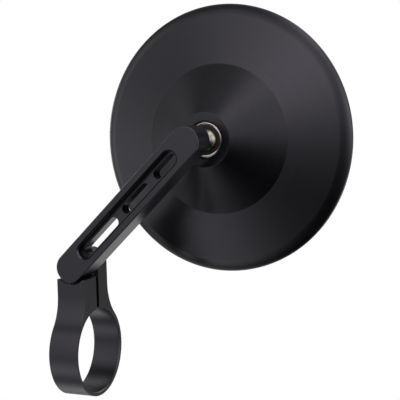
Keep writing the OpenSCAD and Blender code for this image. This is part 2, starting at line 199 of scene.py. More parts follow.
def turned(name, profile, solid=True, steps=ROUND):
    """Draws a ring along a profile of (radius, height) about Z. A solid has its ends closed, and a
    hollow piece runs back to where it began."""
    clear_bench()
    (radius, height), *rest = profile
    bpy.ops.mesh.primitive_circle_add(vertices=steps, radius=radius, location=(0, 0, height),
                                      fill_type="NGON" if solid else "NOTHING")
    piece = bpy.context.object
    piece.name = piece.data.name = name
    bpy.ops.object.transform_apply()
    bpy.ops.object.mode_set(mode="EDIT")
    bpy.ops.mesh.select_all(action="SELECT")
    for next_radius, next_height in rest if solid else [*rest, profile[0]]:
        bpy.ops.mesh.extrude_region_move(
            TRANSFORM_OT_translate={"value": (0, 0, next_height - height)})
        grow = next_radius / radius
        bpy.ops.transform.resize(value=(grow, grow, 1), center_override=(0, 0, next_height))
        # A ring can't grow again from nothing, so a pole counts as a very small radius.
        radius, height = max(next_radius, 1e-9), next_height
    bpy.ops.mesh.select_all(action="SELECT")
    bpy.ops.mesh.remove_doubles(threshold=WELD)
    bpy.ops.mesh.normals_make_consistent(inside=False)
    bpy.ops.object.mode_set(mode="OBJECT")
    return piece


def arc(radius, first, last, steps, centre=0):
    """Points of a ball's section, by angle in degrees from its lowest point."""
    angles = [math.radians(first + (last - first) * i / steps) for i in range(steps + 1)]
    return [(radius * math.sin(angle), centre - radius * math.cos(angle)) for angle in angles]

# %% Bar with round ends
def bar(name, first, last, width, low, high, steps=96):
    """A bar between two centres on X, standing between two heights."""
    clear_bench()
    bpy.ops.mesh.primitive_circle_add(vertices=steps, radius=width / 2, location=(first, 0, low),
                                      rotation=(0, 0, math.pi / steps), fill_type="NGON")
    piece = bpy.context.object
    piece.name = piece.data.name = name
    bpy.ops.object.transform_apply()
    bpy.ops.object.mode_set(mode="EDIT")
    pick(piece, "VERT", lambda corner: corner.x > first)
    bpy.ops.transform.translate(value=(last - first, 0, 0))
    bpy.ops.mesh.select_all(action="SELECT")
    bpy.ops.mesh.extrude_region_move(TRANSFORM_OT_translate={"value": (0, 0, high - low)})
    bpy.ops.mesh.select_all(action="SELECT")
    bpy.ops.mesh.normals_make_consistent(inside=False)
    bpy.ops.object.mode_set(mode="OBJECT")
    return piece

# %% Trace
DEGREES_A_STEP = 2


def spun(steps, turn, centre, axis):
    """Spins what is selected by a right-handed turn, which the operator counts the other way."""
    bpy.ops.mesh.spin(steps=steps, angle=-turn, center=centre, axis=axis)


def traced(name, side, start, path, thickness):
    """Draws a closed outline in the plane x = side and pulls it along X. The path holds either
    ("line", (y, z)) or ("arc", centre, degrees), and its end meets its start."""
    clear_bench()
    bpy.ops.mesh.primitive_plane_add(size=MM, location=(side, *start))
    piece = bpy.context.object
    piece.name = piece.data.name = name
    bpy.ops.object.transform_apply()
    bpy.ops.object.mode_set(mode="EDIT")
    bpy.ops.mesh.select_all(action="SELECT")
    bpy.ops.mesh.merge(type="CENTER")
    here = Vector((side, *start))
    for kind, point, *degrees in path:
        point = Vector((side, *point))
        if kind == "line":
            bpy.ops.mesh.extrude_region_move(TRANSFORM_OT_translate={"value": point - here})
            here = point
        else:
            turn = math.radians(degrees[0])
            steps = max(2, round(abs(degrees[0]) / DEGREES_A_STEP))
            spun(steps, turn, point, (1, 0, 0))
            here = point + Matrix.Rotation(turn, 3, "X") @ (here - point)
    bpy.ops.mesh.select_all(action="SELECT")
    bpy.ops.mesh.remove_doubles(threshold=WELD)
    bpy.ops.mesh.edge_face_add()
    bpy.ops.mesh.extrude_region_move(TRANSFORM_OT_translate={"value": (thickness, 0, 0)})
    bpy.ops.mesh.select_all(action="SELECT")
    bpy.ops.mesh.normals_make_consistent(inside=False)
    bpy.ops.object.mode_set(mode="OBJECT")
    gap = (here - Vector((side, *start))).length
    print(f"{name}: outline ends {gap * 1000:.4f} mm from its start")
    return piece

# %% [markdown]
# ## Where things are
#
# The sizes repeat the ones that the CAD source names. The joints of the frame give the pivot, the
# centre of the ball and the axis of the head, so those three are read and not repeated. ALONG_Y
# lays a piece that was turned about Z towards the rider, and HEAD_TURN lays it along the head.
# Heights on the head and its ball joint, whose names end in W, are measured along the head's axis
# from the centre of the ball.

# %% Places and sizes
joints = {joint["name"]: joint for joint in frame["joints"]}
PIVOT = Vector(joints["arm_pivot"]["pos_m"])
BALL = Vector(joints["head_spin"]["pos_m"])
HEAD_AXIS = Vector(joints["head_spin"]["axis"]).normalized()
ALONG_Y = (-math.pi / 2, 0, 0)
HEAD_TURN = HEAD_AXIS.to_track_quat("Z", "Y").to_euler()

CLAMP_W = 11.6 * MM
BORE_R = 15.7 * MM
RING_R = 17.2 * MM
NECK_FRONT, NECK_REAR = 9.6 * MM, 7.4 * MM
NECK_FILLET = 18 * MM
SLIT_FRONT, SLIT_REAR = -1.2 * MM, 0.6 * MM
SHOULDER_Z = PIVOT.z - 4.4 * MM
CLAMP_SCREW_Z = 21.3 * MM

ARM_W, ARM_T = 11 * MM, 10.4 * MM
ARM_ANGLE = math.radians(43.9)
ARM_LEN = 65.7 * MM
ARM_TURN = (math.pi / 2, -ARM_ANGLE, 0)
print("pivot", PIVOT, "ball", BALL, "head axis", HEAD_AXIS)

# %% [markdown]
# ## The clamp
#
# The real clamp is one milled block: a thin ring, a neck that grows out of it in two long fillets,
# a front jaw with a scoop for the arm's round end, and a rear tang that carries the pivot. Seen
# from the end of the handlebar it is one outline, open at the slit, so the outline is traced and
# pulled to its width. Joining a ring and a box with booleans would leave seams in the fillets.

# %% Clamp outline
def meeting_of(face):
    """How far over and how high the centre of the fillet beside a face of the neck is, and the
    angle in degrees between the line to it from the bore's centre and the level."""
    over = face + NECK_FILLET
    up = math.sqrt((RING_R + NECK_FILLET) ** 2 - over ** 2)
    return over, up, math.degrees(math.atan2(up, over))


front_over, front_up, front_angle = meeting_of(NECK_FRONT)
rear_over, rear_up, rear_angle = meeting_of(NECK_REAR)
slit_front_angle = math.degrees(math.acos(SLIT_FRONT / BORE_R))
slit_rear_angle = math.degrees(math.acos(SLIT_REAR / BORE_R))
bore_start_z = BORE_R * math.sin(math.radians(slit_front_angle))

clamp = traced("clamp_body", -CLAMP_W / 2, (SLIT_FRONT, bore_start_z), [
    ("line", (SLIT_FRONT, SHOULDER_Z)),
    ("line", (-NECK_FRONT, SHOULDER_Z)),
    ("line", (-NECK_FRONT, front_up)),
    ("arc", (-front_over, front_up), -front_angle),
    ("arc", (0, 0), 180 + front_angle + rear_angle),
    ("arc", (rear_over, rear_up), -rear_angle),
    ("line", (NECK_REAR, PIVOT.z)),
    ("line", (SLIT_REAR, PIVOT.z)),
    ("line", (SLIT_REAR, BORE_R * math.sin(math.radians(slit_rear_angle)))),
    ("arc", (0, 0), -(360 - slit_front_angle + slit_rear_angle)),
], CLAMP_W)
print("clamp:", len(clamp.data.polygons), "faces")

# %% [markdown]
# The tang ends in a half round about the pivot. Its flat top comes off, one of the top's edges is
# spun half a turn over to the other, and the two half discs that stay open are filled.

# %% Clamp tang
TANG_STEPS = 48
BORE_CHAMFER = 0.3 * MM
FLAT_WITHIN = math.radians(0.2)     # faces that lean by less than this are one face

hold(clamp)
bpy.ops.object.mode_set(mode="EDIT")
pick(clamp, "FACE", lambda corner: near(corner.z, PIVOT.z))
bpy.ops.mesh.delete(type="ONLY_FACE")
pick(clamp, "EDGE", lambda corner: near(corner.z, PIVOT.z) and near(corner.x, CLAMP_W / 2))
spun(TANG_STEPS, -math.pi, PIVOT, (0, 1, 0))
bpy.ops.mesh.select_all(action="SELECT")
bpy.ops.mesh.remove_doubles(threshold=WELD)
for side_y in (SLIT_REAR, NECK_REAR):
    pick(clamp, "EDGE", lambda corner: near(corner.y, side_y) and corner.z > PIVOT.z - CLOSE)
    bpy.ops.mesh.edge_face_add()
bpy.ops.mesh.select_all(action="SELECT")
bpy.ops.mesh.dissolve_limited(angle_limit=FLAT_WITHIN)
bpy.ops.mesh.select_all(action="SELECT")
bpy.ops.mesh.normals_make_consistent(inside=False)
bore_edges = pick(clamp, "EDGE", lambda corner: near(math.hypot(corner.y, corner.z), BORE_R)
                  and near(abs(corner.x), CLAMP_W / 2))
bpy.ops.mesh.bevel(offset=BORE_CHAMFER, segments=1, affect="EDGES")
bpy.ops.object.mode_set(mode="OBJECT")
print("clamp: chamfered", bore_edges, "edges of the bore")

# %% [markdown]
# Then it is drilled, as on the real one: a stepped bore for the clamp screw through the rear jaw
# with its thread in the front one, a bore and recess for the pivot screw, and the scoop round the
# arm's end. Each cutter is one turned piece with the steps in its profile. Where it runs out
# through a face it ends in the air beyond, because a cutter that ends level with a face leaves a
# skin.

# %% Clamp holes
BEYOND = MM                         # how far a cutter stands out of what it cuts
IN_SLIT = -0.3 * MM
PIVOT_DRILL_Y = -0.5 * MM
HEAD_RECESS_Y = 4 * MM
CLAMP_THREAD_R, CLAMP_THREAD_DEPTH = 2.05 * MM, 6 * MM
CLAMP_HOLE_R, CLAMP_RECESS_R = 2.2 * MM, 3.7 * MM
PIVOT_HOLE_R, PIVOT_RECESS_R = 2.55 * MM, 4.4 * MM
SCOOP_R = 6.5 * MM
DRILL_STEPS = 64
CLAMP_EDGE = 0.2 * MM

clamp_drill = turned("clamp_drill", [
    (CLAMP_THREAD_R, SLIT_FRONT - CLAMP_THREAD_DEPTH), (CLAMP_THREAD_R, IN_SLIT),
    (CLAMP_HOLE_R, IN_SLIT), (CLAMP_HOLE_R, HEAD_RECESS_Y),
    (CLAMP_RECESS_R, HEAD_RECESS_Y), (CLAMP_RECESS_R, RING_R)], steps=DRILL_STEPS)
put(clamp_drill, (0, 0, CLAMP_SCREW_Z), ALONG_Y)
pivot_drill = turned("pivot_drill", [
    (PIVOT_HOLE_R, PIVOT_DRILL_Y), (PIVOT_HOLE_R, HEAD_RECESS_Y),
    (PIVOT_RECESS_R, HEAD_RECESS_Y), (PIVOT_RECESS_R, RING_R)], steps=DRILL_STEPS)
put(pivot_drill, PIVOT, ALONG_Y)
scoop = turned("scoop", [(SCOOP_R, -NECK_FRONT - BEYOND), (SCOOP_R, IN_SLIT)])
put(scoop, PIVOT, ALONG_Y)
cut(clamp, clamp_drill, pivot_drill, scoop)
edged(clamp, CLAMP_EDGE)
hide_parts("clamp")
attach(clamp, "clamp")
print("clamp:", len(clamp.data.polygons), "faces after drilling")

# %% [markdown]
# ## The arm
#
# The arm is a flat bar with round ends. A pocket is milled into each of its faces, which leaves a
# web between them, and three slots run through the web with a ledge all round. So most of its
# length is an I section, light and stiff. It is drawn lying down, with the pivot at the origin and
# the front face up. The outer edges are rounded first, by selecting the two outlines, because they
# are rounder than the edges of the slots. The front pocket has a plain chamfer instead, cut by a
# wider bar whose lower edge is bevelled. It draws the thin dark line round the pocket. The cuts
# leave slivers in the flat faces, which are merged away before the last edges are rounded, because
# they would draw lines in the shading.

# %% Arm
POCKET_W, POCKET_DEPTH, BACK_POCKET_DEPTH = 6.1 * MM, 3.1 * MM, 2 * MM
POCKET_START = 6.2 * MM
POCKET_CHAMFER, LAP = 0.5 * MM, 0.05 * MM      # the chamfer's cutter starts a lap inside the pocket
SLOT_W = 3.5 * MM
SLOT_LENGTHS = [18.7 * MM, 14.3 * MM, 11.5 * MM]
SLOT_RIB, SLOT_LEDGE = 3.6 * MM, 1.3 * MM
OUTLINE_EDGE, ARM_EDGE = 0.4 * MM, 0.12 * MM
THREAD_HOLE_R = 2.55 * MM
PIVOT_THREAD_DEPTH, STUD_THREAD_DEPTH = 7 * MM, 8 * MM

arm = bar("arm_body", 0, ARM_LEN, ARM_W, 0, ARM_T)
hold(arm)
bpy.ops.object.mode_set(mode="EDIT")
for height in (0, ARM_T):
    pick(arm, "EDGE", lambda corner: near(corner.z, height))
    bpy.ops.mesh.bevel(offset=OUTLINE_EDGE, segments=4, affect="EDGES")
bpy.ops.object.mode_set(mode="OBJECT")

pocket_len = sum(SLOT_LENGTHS) + 2 * SLOT_RIB + 2 * SLOT_LEDGE
pocket_ends = POCKET_START + POCKET_W / 2, POCKET_START + pocket_len - POCKET_W / 2
for low, high in ((ARM_T - POCKET_DEPTH, ARM_T + BEYOND), (-BEYOND, BACK_POCKET_DEPTH)):
    cut(arm, bar("pocket", *pocket_ends, POCKET_W - POCKET_CHAMFER, low, high))
countersink = bar("countersink", *pocket_ends, POCKET_W + POCKET_CHAMFER,
                  ARM_T - POCKET_CHAMFER - LAP, ARM_T + BEYOND)
hold(countersink)
bpy.ops.object.mode_set(mode="EDIT")
pick(countersink, "EDGE", lambda corner: near(corner.z, ARM_T - POCKET_CHAMFER - LAP))
bpy.ops.mesh.bevel(offset=POCKET_CHAMFER + LAP, segments=1, affect="EDGES")
bpy.ops.object.mode_set(mode="OBJECT")
cut(arm, countersink)
slot_start = POCKET_START + SLOT_LEDGE
for length in SLOT_LENGTHS:
    cut(arm, bar("slot", slot_start + SLOT_W / 2, slot_start + length - SLOT_W / 2, SLOT_W,
                 -BEYOND, ARM_T + BEYOND))
    slot_start += length + SLOT_RIB
for centre_x, depth in ((0, PIVOT_THREAD_DEPTH), (ARM_LEN, STUD_THREAD_DEPTH)):
    hole = turned("thread_hole", [(THREAD_HOLE_R, -BEYOND), (THREAD_HOLE_R, depth)],
                  steps=DRILL_STEPS)
    cut(arm, put(hole, (centre_x, 0, 0)))
hold(arm)
bpy.ops.object.mode_set(mode="EDIT")
bpy.ops.mesh.select_all(action="SELECT")
bpy.ops.mesh.remove_doubles(threshold=CLOSE)
bpy.ops.mesh.dissolve_limited(angle_limit=FLAT_WITHIN)
bpy.ops.object.mode_set(mode="OBJECT")
edged(arm, ARM_EDGE, welded=True)
put(arm, PIVOT, ARM_TURN)
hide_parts("arm")
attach(arm, "arm")
print("arm:", len(arm.data.polygons), "faces, box in mm",
      [round(value * 1000, 2) for value in arm.dimensions])

# %% [markdown]
# ## The head
#
# The head is a dish turned from one disc: a bevel at the back edge, a nearly flat cone, a steep
# cone and a boss with the mouth of the ball socket. The bevel isn't straight. It sets off with a
# slight kink and rolls over towards the rim, and so it catches the light from beside the head. The
# section is drawn once and turned in 256 steps, so that the outline stays round at any zoom. The
# edges between the cones are only twenty degrees sharp, so they get a rounding with a lower limit.

# %% Head shell
HEAD_R = 50 * MM
BOSS_R, BOSS_W = 10 * MM, -3.7 * MM
SHOULDER_R, SHOULDER_W = 27.8 * MM, 7.1 * MM
BEVEL_R, BEVEL_W = 45.7 * MM, 10.9 * MM
BEVEL_PULL_R, BEVEL_PULL_W = 48.9 * MM, 11.95 * MM
RIM_W, RIM_T, LIP_W = 13.3 * MM, MM, 15.5 * MM
LIP_R, RECESS_R, RECESS_W = 48.8 * MM, 47.5 * MM, 12.7 * MM
LEDGE_R = 38.5 * MM
MOUTH_R, MOUTH_W = 7 * MM, -2.9 * MM
STEP_R, STEP_W = 6.45 * MM, -2.05 * MM
TUBE_R, TUBE_W, SOCKET_R = 10.55 * MM, 12.16 * MM, 8.15 * MM
WALL = 2 * MM
HEAD_STEPS, HEAD_EDGE = 256, 0.15 * MM

flat_slope = (BEVEL_W - SHOULDER_W) / (BEVEL_R - SHOULDER_R)
steep_slope = (SHOULDER_W - BOSS_W) / (SHOULDER_R - BOSS_R)
cavity_r = SHOULDER_R - WALL * math.tan((math.atan(steep_slope) - math.atan(flat_slope)) / 2)


def rolled(start, pull, end, steps):
    """Points from start to end on a curve that sets off and arrives towards the pulling point."""
    return [tuple((1 - t) ** 2 * a + 2 * t * (1 - t) * b + t * t * c
                  for a, b, c in zip(start, pull, end))
            for t in (step / steps for step in range(steps + 1))]


head = turned("head_shell", [
    (MOUTH_R, BOSS_W), (BOSS_R, BOSS_W), (SHOULDER_R, SHOULDER_W),
    *rolled((BEVEL_R, BEVEL_W), (BEVEL_PULL_R, BEVEL_PULL_W), (HEAD_R, RIM_W), 8),
    (HEAD_R, RIM_W + RIM_T), (LIP_R, LIP_W),
    (RECESS_R, LIP_W), (RECESS_R, RECESS_W), (LEDGE_R, RECESS_W),
    (LEDGE_R, SHOULDER_W + (LEDGE_R - SHOULDER_R) * flat_slope + WALL),
    (cavity_r, SHOULDER_W + WALL),
    (TUBE_R, BOSS_W + (TUBE_R - BOSS_R) * steep_slope + WALL * math.hypot(1, steep_slope)),
    (TUBE_R, TUBE_W), (SOCKET_R, TUBE_W), (SOCKET_R, STEP_W), (STEP_R, STEP_W),
    (STEP_R, MOUTH_W), (MOUTH_R, MOUTH_W)], solid=False, steps=HEAD_STEPS)
edged(head, HEAD_EDGE, sharper_than=12, segments=2)
put(head, BALL, HEAD_TURN)
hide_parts("head_housing")
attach(head, "head")
print("head:", len(head.data.polygons), "faces")

# %% [markdown]
# ## The ball joint
#
# The stud is a ball, a waist and a collar turned from one steel rod. Its profile runs from the
# thread to the far pole of the ball, where the ring of edges shrinks to a point and merges. Two
# flats for a spanner are cut in the collar. The bright ring in the mouth of the boss holds the rear
# seat, and a small bead runs round its inner edge. The seat is a slice of a hollow ball, and its
# inner face runs on past the outer one to a lip over the ball. Both are turned as closed rings.

# %% Ball stud
BALL_R, BALL_STEPS = 5 * MM, 40
WAIST_R = 2.3 * MM
COLLAR_R, COLLAR_T, COLLAR_CHAMFER = 3.5 * MM, 3 * MM, 0.5 * MM
STUD_THREAD_R, STUD_THREAD_LEN = 2.5 * MM, 7.5 * MM
SPANNER_FLAT_X, SPANNER_FLAT_LIFT = 3 * MM, 0.05 * MM
STUD_EDGE = 0.1 * MM

waist_angle = math.degrees(math.asin(WAIST_R / BALL_R))
stud = turned("ball_stud_turned", [
    (STUD_THREAD_R, -STUD_THREAD_LEN), (STUD_THREAD_R, 0), (COLLAR_R, 0),
    (COLLAR_R, COLLAR_T - COLLAR_CHAMFER), (COLLAR_R - COLLAR_CHAMFER, COLLAR_T),
    (WAIST_R, COLLAR_T), *arc(BALL_R, waist_angle, 180, BALL_STEPS, BALL.y)])
flat_depth = COLLAR_R - SPANNER_FLAT_X
for side in (-1, 1):
    clear_bench()
    bpy.ops.mesh.primitive_cube_add(location=(side * COLLAR_R, 0, COLLAR_T / 2 + SPANNER_FLAT_LIFT),
                                    scale=(flat_depth, 2 * COLLAR_R, COLLAR_T / 2))
    cut(stud, bpy.context.object)
edged(stud, STUD_EDGE, sharper_than=40, welded=True)
put(stud, (BALL.x, 0, BALL.z), ALONG_Y)
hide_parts("ball_stud")
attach(stud, "arm")

# %% Ring
CUP_R, CUP_FIRST, CUP_LAST = 6.1 * MM, 93.76, 65
SOCKET_RING_R, SOCKET_RING_NECK_R = 8.1 * MM, 6.4 * MM
SOCKET_RING_REAR_W, SOCKET_RING_FRONT_W = -2 * MM, 0.4 * MM
BEAD_R, BEAD_AT_R, BEAD_AT_W, BEAD_STEPS = 0.275 * MM, 6.125 * MM, -2.625 * MM, 8
RING_EDGE = 0.03 * MM

bead = [(BEAD_AT_R - BEAD_R * math.cos(a), BEAD_AT_W - BEAD_R * math.sin(a))
        for a in (math.pi * step / BEAD_STEPS for step in range(BEAD_STEPS + 1))]
ring = turned("socket_ring", [
    *bead, (SOCKET_RING_NECK_R, SOCKET_RING_REAR_W), (SOCKET_RING_R, SOCKET_RING_REAR_W),
    (SOCKET_RING_R, SOCKET_RING_FRONT_W), *arc(CUP_R, CUP_FIRST, CUP_LAST, 10)], solid=False)
edged(ring, RING_EDGE, segments=2, welded=True)
put(ring, BALL, HEAD_TURN)
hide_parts("retaining_ring")
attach(ring, "head")

# %% Rear seat
SEAT_IN_R, SEAT_OUT_R = 5.08 * MM, 6.02 * MM
SEAT_LIP, SEAT_OUT_LIP, SEAT_FRONT = 57, 62, 80         # degrees from the rear of the head's axis
SEAT_EDGE = 0.12 * MM

rear_seat = turned("rear_seat_moulded", [
    *arc(SEAT_IN_R, SEAT_LIP, SEAT_FRONT, 10),
    *arc(SEAT_OUT_R, SEAT_FRONT, SEAT_OUT_LIP, 8)], solid=False)
edged(rear_seat, SEAT_EDGE)
put(rear_seat, BALL, HEAD_TURN)
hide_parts("rear_seat")
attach(rear_seat, "yaw_seat")
print("ball joint:", [len(piece.data.polygons) for piece in (stud, ring, rear_seat)], "faces")

# %% [markdown]
# ## Screws
#
# Both screws have a hexagon socket in a low head. A hexagon is a circle of six steps, so the lathe
# tool makes that cutter too. They are seen from the glass side only, one above the other.

# %% Screws
PIVOT_SCREW_Y, CLAMP_SCREW_Y = 5.6 * MM, 4.85 * MM
SCREW_EDGE = 0.1 * MM


def cap_screw(name, thread_r, shank, head_r, head_h, across):
    """A socket screw along Z, with its head on z = 0 and its shank below. The socket is so wide
    across its flats, and a shallow cone leads into it."""
    edge, inside, deep, past = 0.4 * MM, 0.1 * MM, 0.15 * MM, 0.2 * MM
    screw = turned(name, [
        (thread_r - edge, -shank), (thread_r, edge - shank), (thread_r, 0), (head_r, 0),
        (head_r, head_h - edge), (head_r - edge, head_h)], steps=96)
    corner_r = across / 2 / math.cos(math.pi / 6)
    socket = turned("socket", [(corner_r, head_h / 2), (corner_r, head_h + BEYOND)], steps=6)
    lead_in = turned("lead_in", [(across / 2 - inside, head_h - deep),
                                 (corner_r + past, head_h + past)])
    cut(screw, put(socket, turn=(0, 0, math.pi / 6)), lead_in)
    return edged(screw, SCREW_EDGE)


pivot_screw = cap_screw("pivot_screw_black", thread_r=2.5 * MM, shank=12.1 * MM,
                        head_r=4.2 * MM, head_h=2.8 * MM, across=3 * MM)
put(pivot_screw, PIVOT + Vector((0, PIVOT_SCREW_Y, 0)), ALONG_Y)
clamp_screw = cap_screw("clamp_screw_black", thread_r=2 * MM, shank=11.55 * MM,
                        head_r=3.5 * MM, head_h=3.4 * MM, across=3 * MM)
put(clamp_screw, (0, CLAMP_SCREW_Y, CLAMP_SCREW_Z), ALONG_Y)
for screw, cad_node, body in ((pivot_screw, "pivot_screw", "arm"),
                              (clamp_screw, "clamp_screw", "clamp")):
    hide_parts(cad_node)
    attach(screw, body)
    lowest = map(min, zip(*(corner.co for corner in screw.data.vertices)))
    misses = [round((a - b) * 1000, 3) for a, b in zip(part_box(cad_node)[0], lowest)]
    print(cad_node, "ends within", misses, "mm of the CAD")

# %% [markdown]
# ## The glass
#
# The glass is a thin convex lens of even thickness, 1200 mm in radius, so that the rider sees more
# road. Its front edge has the narrow ground bevel that keeps a cut edge from chipping. Both faces
# are turned, ring by ring, in small steps, because a mirror shows every kink in its shape.

# %% Glass
GLASS_R, GLASS_T, GLASS_CURVE = 47.3 * MM, 2 * MM, 1200 * MM
PAD_T = 0.9 * MM
GLASS_EDGE_W = RECESS_W + PAD_T
GLASS_BEVEL = 0.4 * MM
GLASS_RINGS, GLASS_STEPS = 24, 192


def bulge(radius):
    """How far the curve of the glass stands above its edge at a radius."""
    return math.sqrt(GLASS_CURVE ** 2 - radius ** 2) - math.sqrt(GLASS_CURVE ** 2 - GLASS_R ** 2)


rings = [GLASS_R * i / GLASS_RINGS for i in range(1, GLASS_RINGS)]
glass = turned("glass", [
    *[(radius, GLASS_EDGE_W + bulge(radius)) for radius in rings],
    (GLASS_R, GLASS_EDGE_W), (GLASS_R, GLASS_EDGE_W + GLASS_T - GLASS_BEVEL),
    (GLASS_R - GLASS_BEVEL, GLASS_EDGE_W + GLASS_T),
    *[(radius, GLASS_EDGE_W + GLASS_T + bulge(radius)) for radius in reversed(rings)]],
    steps=GLASS_STEPS)
edged(glass, 0)
put(glass, BALL, HEAD_TURN)
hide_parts("mirror_glass")
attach(glass, "head")
print("glass:", len(glass.data.polygons), "faces")

# %% [markdown]
# ## Shader maths that reads like maths
#
# A finish is a formula: so much more roughness where the noise is high, so much lean of the normal
# along the radius. Node trees hide such formulas in a web of links. The small class below wraps a
# socket, so that a + b or 1 - mask adds its Math node and the formula stays in sight.

# %% Sockets as numbers
class Sum:
    """A socket of a node, with the arithmetic that the finishes use."""

    def __init__(self, tree, socket):
        self.tree, self.socket = tree, socket

    def maths(self, operation, first, second):
        return node(self.tree, "ShaderNodeMath", {"operation": operation}, {0: first, 1: second})

    def __add__(self, other):
        return self.maths("ADD", self, other)

    __radd__ = __add__

    def __sub__(self, other):
        return self.maths("SUBTRACT", self, other)

    def __rsub__(self, other):
        return self.maths("SUBTRACT", other, self)

    def __mul__(self, other):
        return self.maths("MULTIPLY", self, other)

    __rmul__ = __mul__

    def __pow__(self, other):
        return self.maths("POWER", self, other)

    def above(self, other):
        return self.maths("MAXIMUM", self, other)


def node(tree, kind, settings=None, inputs=None, out=0):
    """Adds a node, sets it, gives its sockets values or links, and returns one of its outputs."""
    made = tree.nodes.new(kind)
    for name, value in (settings or {}).items():
        if name == "stops":
            for stop, (place, colour) in zip(made.color_ramp.elements, value):
                stop.position, stop.color = place, colour
        else:
            setattr(made, name, value)
    for name, value in (inputs or {}).items():
        if isinstance(value, Sum):
            tree.links.new(value.socket, made.inputs[name])
        else:
            made.inputs[name].default_value = value
    return Sum(tree, made.outputs[out])


def vector(tree, operation, first, second=None, out="Vector"):
    """Vector Math: a Math node would turn a direction into one number."""
    values = {0: first} if second is None else {0: first, 1: second}
    return node(tree, "ShaderNodeVectorMath", {"operation": operation}, values, out)

# %% Common parts of a finish
def finish_named(name, **constants):
    """A new material with a Principled shader, whose even values are set on its own sockets."""
    material = bpy.data.materials.new(name)
    material.use_nodes = True
    tree = material.node_tree
    shader = tree.nodes["Principled BSDF"]
    for socket, value in constants.items():
        shader.inputs[socket.replace("_", " ")].default_value = value
    return material, tree, shader


def feed(tree, shader, **sockets):
    """Links what varies over the surface to the shader."""
    for socket, value in sockets.items():
        tree.links.new(value.socket, shader.inputs[socket.replace("_", " ")])


def object_place(tree):
    """The place on the piece, in metres."""
    return node(tree, "ShaderNodeTexCoord", out="Object")


def grain(tree, size, detail):
    """Noise from 0 to 1 whose lumps are about so many metres across."""
    return node(tree, "ShaderNodeTexNoise", {"noise_dimensions": "3D"},
                {"Vector": object_place(tree), "Scale": 1 / size, "Detail": detail,
                 "Roughness": 0.5}, "Fac")


def tint(tree, amount, dark, light):
    """A colour between two, by an amount from 0 to 1."""
    return node(tree, "ShaderNodeMix", {"data_type": "RGBA"},
                {0: amount, 6: (*dark, 1), 7: (*light, 1)}, 2)


def bumped(tree, height, depth):
    """The normal over a height field from 0 to 1 that is so many metres deep."""
    return node(tree, "ShaderNodeBump",
                inputs={"Height": height, "Distance": depth, "Strength": 1.0})

# %% [markdown]
# ## Lathe marks
#
# A turned face is covered with fine grooves, one for each turn of the work. They are far too fine
# to model or to see one by one, but they lean the surface in and out along the radius, so each
# highlight is drawn out into a fan. Anisotropic shading would need a tangent, which the export
# drops. So the normal itself leans: a noise in one dimension, read along the radius, gives the
# lean, and the spoke from the axis gives its direction.

# %% Grooves round the head's axis
def lathe_normal(tree, pitch, lean):
    """The normal of a face that was turned about the head's axis, and its grooves from 0 to 1. The
    grooves are about a pitch apart, and the lean is their slope."""
    place = vector(tree, "SUBTRACT", object_place(tree), tuple(BALL))
    along = vector(tree, "DOT_PRODUCT", place, tuple(HEAD_AXIS), "Value")
    on_axis = node(tree, "ShaderNodeVectorMath", {"operation": "SCALE"},
                   {0: tuple(HEAD_AXIS), "Scale": along}, "Vector")
    spoke = vector(tree, "SUBTRACT", place, on_axis)
    radius = vector(tree, "LENGTH", spoke, out="Value")
    groove = node(tree, "ShaderNodeTexNoise", {"noise_dimensions": "1D"},
                  {"W": radius * (1 / pitch), "Scale": 1.0, "Detail": 2.0, "Roughness": 0.6}, "Fac")
    outward = node(tree, "ShaderNodeVectorTransform",
                   {"vector_type": "VECTOR", "convert_from": "OBJECT", "convert_to": "WORLD"},
                   {"Vector": vector(tree, "NORMALIZE", spoke)})
    leaning = node(tree, "ShaderNodeVectorMath", {"operation": "SCALE"},
                   {0: outward, "Scale": (groove - 0.5) * (4 * lean)}, "Vector")
    flat = node(tree, "ShaderNodeNewGeometry", out="Normal")
    return vector(tree, "NORMALIZE", vector(tree, "ADD", flat, leaning)), groove

# %% [markdown]
# ## Black anodising
#
# Anodising grows a glassy layer of oxide on aluminium and a dye fills its pores. So it is black
# glass over metal: hardly any light comes back from within, and a soft reflection lies on top. It
# is dark seen straight on and bright seen along its face, as the sides of the arm show. On the
# clamp and the arm, blasted first, the layer is satin and very finely grained. On the head it keeps
# the lathe marks. A metallic shader would be as bright from every side, so the shader is a plain
# dielectric with a base that is nearly black, and the dye's breath of violet tints what it
# reflects.

# %% Black anodised, blasted
VIOLET_BREATH = (0.91, 0.87, 1.0, 1)
anodised, tree, shader = finish_named("anodised_blasted", IOR=1.52, Specular_Tint=VIOLET_BREATH)
cloud = grain(tree, 14 * MM, 2)
pore = grain(tree, 0.25 * MM, 2)
feed(tree, shader,
     Base_Color=tint(tree, cloud, (0.0020, 0.0018, 0.0022), (0.0028, 0.0026, 0.0030)),
     Roughness=0.30 + (cloud - 0.5) * 0.04 + (pore - 0.5) * 0.06,
     Normal=bumped(tree, pore, 0.003 * MM))

# %% Black anodised, turned
blackturned, tree, shader = finish_named("anodised_turned", IOR=1.47, Specular_Tint=VIOLET_BREATH)
normal, groove = lathe_normal(tree, pitch=0.11 * MM, lean=0.12)
cloud = grain(tree, 20 * MM, 2)
feed(tree, shader,
     Base_Color=tint(tree, cloud, (0.0014, 0.0012, 0.0015), (0.0020, 0.0018, 0.0022)),
     Roughness=0.26 + (cloud - 0.5) * 0.04 + (groove - 0.5) * 0.04,
     Normal=normal)

# %% [markdown]
# ## Bright metal
#
# The ball, its collar and the ring are steel. The ball is ground and then blackened, so it shows
# its surroundings darkly, and only a faint haze varies its gloss. The ring is bright and turned,
# with marks about the head's axis. The washers are zinc plated, which is brighter and a little blue
# and yellow by turns, and the springs are heat treated and oiled, which leaves them grey with
# straw coloured clouds.

